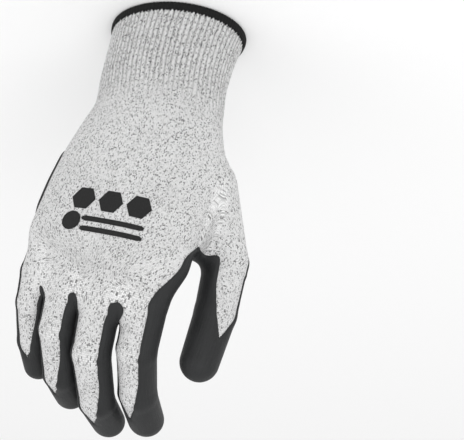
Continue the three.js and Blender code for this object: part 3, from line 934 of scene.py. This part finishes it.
def make_camera():
    azimuth, elevation = np.radians(CAMERA_AZIMUTH), np.radians(CAMERA_ELEVATION)
    roll = np.radians(CAMERA_ROLL)
    level = np.cos(elevation)
    back = np.array([np.sin(azimuth) * level, -np.cos(azimuth) * level, np.sin(elevation)])
    place = np.array(CAMERA_AIM) + back * CAMERA_DISTANCE
    right = unit(np.cross(-back, (0, 0, 1)))
    up = np.cross(right, -back)
    right, up = right * np.cos(roll) + up * np.sin(roll), up * np.cos(roll) - right * np.sin(roll)
    back = -unit(-back + right * np.tan(np.radians(CAMERA_PAN)) + up * np.tan(np.radians(CAMERA_TILT)))
    right = unit(np.cross(up, back))
    up = np.cross(back, right)
    data = bpy.data.cameras.new("camera")
    data.lens = CAMERA_LENS
    data.sensor_width = CAMERA_SENSOR
    data.clip_start = CAMERA_NEAR
    camera = bpy.data.objects.new("camera", data)
    turn = Matrix([[right[i], up[i], back[i]] for i in range(3)])
    camera.matrix_world = Matrix.LocRotScale(Vector(place * MM), turn.to_quaternion(), None)
    bpy.context.scene.collection.objects.link(camera)
    bpy.context.scene.camera = camera


def add_light(name, place, power):
    data = bpy.data.lights.new(name, "AREA")
    data.shape = "DISK"
    data.size = LIGHT_SIZE
    data.energy = power
    light = bpy.data.objects.new(name, data)
    light.location = place
    light.rotation_euler = (Vector(LIGHT_AIM) - Vector(place)).to_track_quat("-Z", "Y").to_euler()
    bpy.context.scene.collection.objects.link(light)


def make_studio():
    world = bpy.data.worlds.new("studio")
    world.use_nodes = True
    sky = world.node_tree.nodes["Background"]
    sky.inputs[0].default_value = grey(1.0)
    sky.inputs[1].default_value = SKY_STRENGTH
    bpy.context.scene.world = world
    bpy.ops.mesh.primitive_circle_add(vertices=64, radius=FLOOR_RADIUS, fill_type="NGON", location=(0, 0, 0))
    floor = bpy.context.object
    floor.name = "floor"
    m = Nodes("pale_floor")
    m.look(Base_Color=grey(0.92), Roughness=0.9)
    floor.data.materials.append(m.material)
    for name, place, power in LIGHTS:
        add_light(name, place, power)


make_camera()
make_studio()
bpy.context.scene.view_settings.view_transform = "Standard"


# -------- the liner and the coat
def blend_for(obj, piece):
    """Attaches the cuff's rib to the cuff, and bakes the place of any other piece into its mesh."""
    if piece == "cuff_rib":
        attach(obj, "cuff")
        return
    if piece == "hand":
        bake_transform(obj)
        return
    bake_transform(obj)


def cut_surface():
    """The whole surface, cut where pieces and the coat end."""
    points, tris = whole_surface()
    points, tris = cut(points, tris, straighten(points)[:, 2] - CUFF_TOP)
    for limb in ALL_LIMBS.values():
        for i in range(len(limb.dirs) - 1):
            values = cut_values(limb, points)[i]
            near = np.linalg.norm(points - limb.places[i + 1], axis=1) < CUT_REACH
            points, tris = cut(points, tris, np.where(near, values, 1.0))
    return cut(points, tris, describe(points)["coat"])


def make_liner_and_coat():
    points, tris = cut_surface()
    info = describe(points)
    height = info["q"][:, 2]
    normals = gradient(points, FINGER_NAMES)
    for number, keep in enumerate(FINGER_PAIRS):
        mine = (info["nearest"] < len(FINGER_NAMES)) & (info["nearest"] % 2 == number)
        mine &= height > SPLIT_HEIGHT - 0.5
        normals[mine] = gradient(points[mine], keep)
    normals /= np.linalg.norm(normals, axis=1)[:, None]

    phase = info["u"] / PATTERN_HALF * PI * RIB_COUNT
    fade = 1 - smooth(height, *RIB_FADE)
    rib = np.cos(phase) * fade * RIB_DEPTH / 2
    palm = smooth(-info["q"][:, 1], *GATHER_PALM)
    band = smooth(height, *GATHER_START) * (1 - smooth(height, *GATHER_END)) * palm
    gather = GATHER_DEPTH * np.cos(height * FULL_TURN / GATHER_PITCH) * band
    knit_outer = points + normals * (rib + gather)[:, None]
    knit_inner = points + normals * (rib - KNIT_WALL)[:, None]
    # Painted shade: a mask of the rib's valleys, fading out above the cuff, that darkens the knit's colour
    painted_rib_valley_shade = np.clip(-np.cos(phase), 0, 1) * fade

    depth = np.clip(-info["coat"] / COAT_LIP, 0, 1)
    lip = COAT_INNER + COAT_EDGE_RISE + (COAT_OUTER - COAT_INNER) * np.sqrt(1 - (1 - depth) ** 2)
    coat_outer = points + normals * (lip + gather + rib * 0.5)[:, None]
    coat_inner = points + normals * (COAT_INNER + rib + gather)[:, None]

    knit_normals = normals + corner_normals(knit_outer, tris) - corner_normals(points, tris)
    centres = points[tris].mean(1)
    centre_info = describe(centres)
    under_coat = centre_info["coat"] < 0
    coat_tris = tris[under_coat]
    coat_normals = normals + corner_normals(coat_outer, coat_tris) - corner_normals(points, coat_tris)
    piece = piece_of(centres, centre_info)

    layers = (
        ("knit", knit_outer, knit_inner, knit_normals, KNIT),
        ("coating", coat_outer, coat_inner, coat_normals, COAT),
    )
    for number, name in enumerate(PIECES):
        for kind, outer, inner, facing, material in layers:
            chosen = piece == number
            if kind == "coating":
                chosen &= under_coat
            if chosen.sum() < FEWEST_TRIANGLES:
                continue
            faces = tris[chosen]
            used, local = np.unique(faces, return_inverse=True)
            local = local.reshape(faces.shape)
            verts, shell_tris = shell(outer[used], inner[used], local)
            both = np.concatenate([used, used])
            uv = unwrap(info["u"][both], info["v"][both], info["period"][both], shell_tris)
            towards = np.concatenate([facing[used], -normals[used]])
            towards /= np.linalg.norm(towards, axis=1)[:, None]
            node = "palm_coating" if (name, kind) == ("hand", "coating") else f"{name}_{kind}"
            obj = add_mesh(
                node.replace("coating", "coat") + "_mesh", verts, shell_tris, material, uv, towards,
                vectors={"rest": points[both]}, values={"painted_rib_valley_shade": painted_rib_valley_shade[both]},
            )
            blend_for(obj, name)
            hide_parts(*({node} | HAND_SECTIONS if node == "hand_knit" else {node}))


# -------- hem, yarns and print
# The radius that stands for every ring's in the pattern coordinates
RING_RADIUS = 33
# Overlock loops round the hem, places for each, and how far a loop slants; half the hem's thickness, and
# its middle and half height
HEM_LOOPS = 118
HEM_PLACES = 10
HEM_SLANT = 1.6
HEM_HALF = 1.25
HEM_MIDDLE, HEM_HALF_HEIGHT = 2.55, 2.25
HEM_SQUARENESS = 0.7
# Heights of the two threads, and of the waves of the hem's upper edge
THREAD_RIDGES = (0.34, 0.16)
SCALLOP = 0.40
# Elastic yarns: heights of the first and from one to the next, gap to the liner, radius and ridge of the
# twist, turns of the twist, and the height and number of the waves
YARN_COUNT = 4
YARN_FIRST, YARN_PITCH = 12, 8
YARN_GAP = 0.55
YARN_RADIUS, YARN_RIDGE = 0.33, 0.10
YARN_TURNS = 64
YARN_WAVE, YARN_WAVES = 0.12, 37


def make_ring(name, out, height, material, columns, pattern_rows):
    """A closed ring; out and height are rows by columns, out measured from the knit's outer face."""
    rows = out.shape[0]
    turn = way_round(columns)
    a = np.interp(height, LEVELS, COLUMNS[1]) + out
    b = np.interp(height, LEVELS, COLUMNS[2]) + out
    x = WRIST[0] + np.interp(height, LEVELS, COLUMNS[0]) + a * np.cos(turn)
    y = WRIST[1] + b * np.sin(turn)
    points = np.stack([x, y, height], -1).reshape(-1, 3)
    i, j = np.meshgrid(np.arange(rows), np.arange(columns), indexing="ij")
    here, down, right = i * columns, (i + 1) % rows * columns, (j + 1) % columns
    quads = np.stack([here + j, here + right, down + right, down + j], -1).reshape(-1, 4)
    corner_turn = np.stack([j, j + 1, j + 1, j], -1).reshape(-1, 4) / columns * FULL_TURN * RING_RADIUS
    corner_row = np.stack([i, i, i + 1, i + 1], -1).reshape(-1, 4) / rows * pattern_rows
    uv = halves(np.stack([corner_turn, corner_row], -1)).reshape(-1, 2)
    return add_mesh(name, points, halves(quads), material, uv)


def make_hem():
    columns, rows = HEM_LOOPS * HEM_PLACES, 28
    turn, around = way_round(columns)[None], way_round(rows)[:, None]
    loop = turn * HEM_LOOPS + HEM_SLANT * np.sin(around)
    ridge = np.abs(np.cos(loop / 2)) ** 1.4
    second = np.abs(np.cos(loop / 2 + PI / 2 + 0.4)) ** 3
    thread = THREAD_RIDGES[0] * ridge + THREAD_RIDGES[1] * second
    scallop = SCALLOP * np.cos(turn * HEM_LOOPS) * smooth(np.sin(around), 0.2, 1.0)
    out = -KNIT_WALL / 2 + (HEM_HALF + thread) * signed_power(np.cos(around), HEM_SQUARENESS)
    rise = signed_power(np.sin(around), HEM_SQUARENESS)
    height = np.maximum(HEM_MIDDLE + (HEM_HALF_HEIGHT + thread * 0.5) * rise + scallop, 0.0)
    obj = make_ring("hem_overlock_mesh", out, height, OVERLOCK, columns, 12.0)
    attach(obj, "cuff")
    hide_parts("cuff_hem_overlock")


def make_yarn(number):
    columns, rows = 720, 12
    turn, around = way_round(columns)[None], way_round(rows)[:, None]
    radius = YARN_RADIUS + YARN_RIDGE * np.abs(np.cos(around - turn * YARN_TURNS))
    out = -KNIT_WALL - YARN_GAP + radius * np.cos(around)
    middle = YARN_FIRST + YARN_PITCH * number
    height = middle + radius * np.sin(around) + YARN_WAVE * np.sin(turn * YARN_WAVES)
    obj = make_ring(f"elastic_yarn_{number + 1}_mesh", out, height, ELASTIC, columns, 3.0)
    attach(obj, "cuff")
    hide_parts(f"elastic_yarn_{number + 1}")


# The print, laid out on the straight hand's back: its turn, and places and sizes of its marks
PRINT_TURN = 5.0
MARK_MIDDLE = (-3.5, 119.5)
MARK_PITCH = 15.0
MARK_RADIUS = 6.6
BADGE_MIDDLE = (-22, 130.5)
BADGE_RADIUS = 5.0
BAR_MIDDLES = ((0, 130.5), (0, 135.8))
BAR_SIZE = (33, 2.6)
# Its lower and upper face above the knit, the drop at its edge, and where it starts over the back
PRINT_BOTTOM, PRINT_TOP = 0.06, 0.36
PRINT_DROP = 0.12
PRINT_START = 25.0


def polygon_reach(angle, corners, radius):
    """A regular polygon's edge, as distances from its middle."""
    part = FULL_TURN / corners
    local = np.mod(angle, part) - part / 2
    return radius * np.cos(part / 2) / np.cos(local)


def bar_reach(angle, width, height):
    """A bar's edge with slightly rounded corners, as distances from its middle."""
    power = 14
    c, s = np.abs(np.cos(angle)) / (width / 2), np.abs(np.sin(angle)) / (height / 2)
    return (c**power + s**power) ** (-1 / power)


def make_mark(name, middle, reach):
    """A flat mark of the print, moved on to the knit."""
    steps, rings = 144, 14
    angle = way_round(steps)
    share = (np.arange(1, rings + 1) / rings)[:, None]
    edge = reach(angle)[None]
    a = np.concatenate([[0], (share * edge * np.cos(angle)).ravel()])
    b = np.concatenate([[0], (share * edge * np.sin(angle)).ravel()])
    c, s = np.cos(np.radians(PRINT_TURN)), np.sin(np.radians(PRINT_TURN))
    x, z = middle[0] + a * c - b * s, middle[1] + a * s + b * c
    places = np.stack([x, np.full(len(x), PRINT_START), z - WRIST_HEIGHT], 1) @ HAND.T + WRIST
    for _ in range(12):
        places = places - np.outer(knit_field(places), HAND[:, 1])
    normals = gradient(places, FINGER_NAMES)
    normals /= np.linalg.norm(normals, axis=1)[:, None]
    fan = np.stack([np.zeros(steps, int), 1 + np.arange(steps), 1 + (np.arange(steps) + 1) % steps], 1)
    tris = np.concatenate([fan, 1 + ring_grid(rings, steps)[:, ::-1]])
    facing = np.einsum("ij,ij->i", corner_normals(places, tris), normals).mean()
    if facing < 0:
        tris = tris[:, ::-1]
    info = describe(places)
    drop = np.concatenate([[0], np.repeat((np.arange(1, rings + 1) == rings) * PRINT_DROP, steps)])
    outer = places + normals * (PRINT_TOP - drop)[:, None]
    verts, shell_tris = shell(outer, places + normals * PRINT_BOTTOM, tris)
    both = np.concatenate([np.arange(len(places))] * 2)
    uv = unwrap(info["u"][both], info["v"][both], info["period"][both], shell_tris)
    obj = add_mesh(name + "_mesh", verts, shell_tris, PRINT, uv, np.concatenate([normals, -normals]))
    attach(obj, "hand")
    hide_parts(name)


def make_print():
    turn = np.radians(PRINT_TURN)
    for i in range(3):
        along = (i - 1) * MARK_PITCH
        middle = (MARK_MIDDLE[0] + along * np.cos(turn), MARK_MIDDLE[1] + along * np.sin(turn))
        make_mark(f"print_hexagon_{i + 1}", middle, lambda angle: polygon_reach(angle, 6, MARK_RADIUS))
    make_mark("print_badge", BADGE_MIDDLE, lambda angle: polygon_reach(angle, 16, BADGE_RADIUS))
    for i, middle in enumerate(BAR_MIDDLES):
        make_mark(f"print_bar_{i + 1}", middle, lambda angle: bar_reach(angle, *BAR_SIZE))


make_liner_and_coat()
make_hem()
for yarn in range(YARN_COUNT):
    make_yarn(yarn)
make_print()
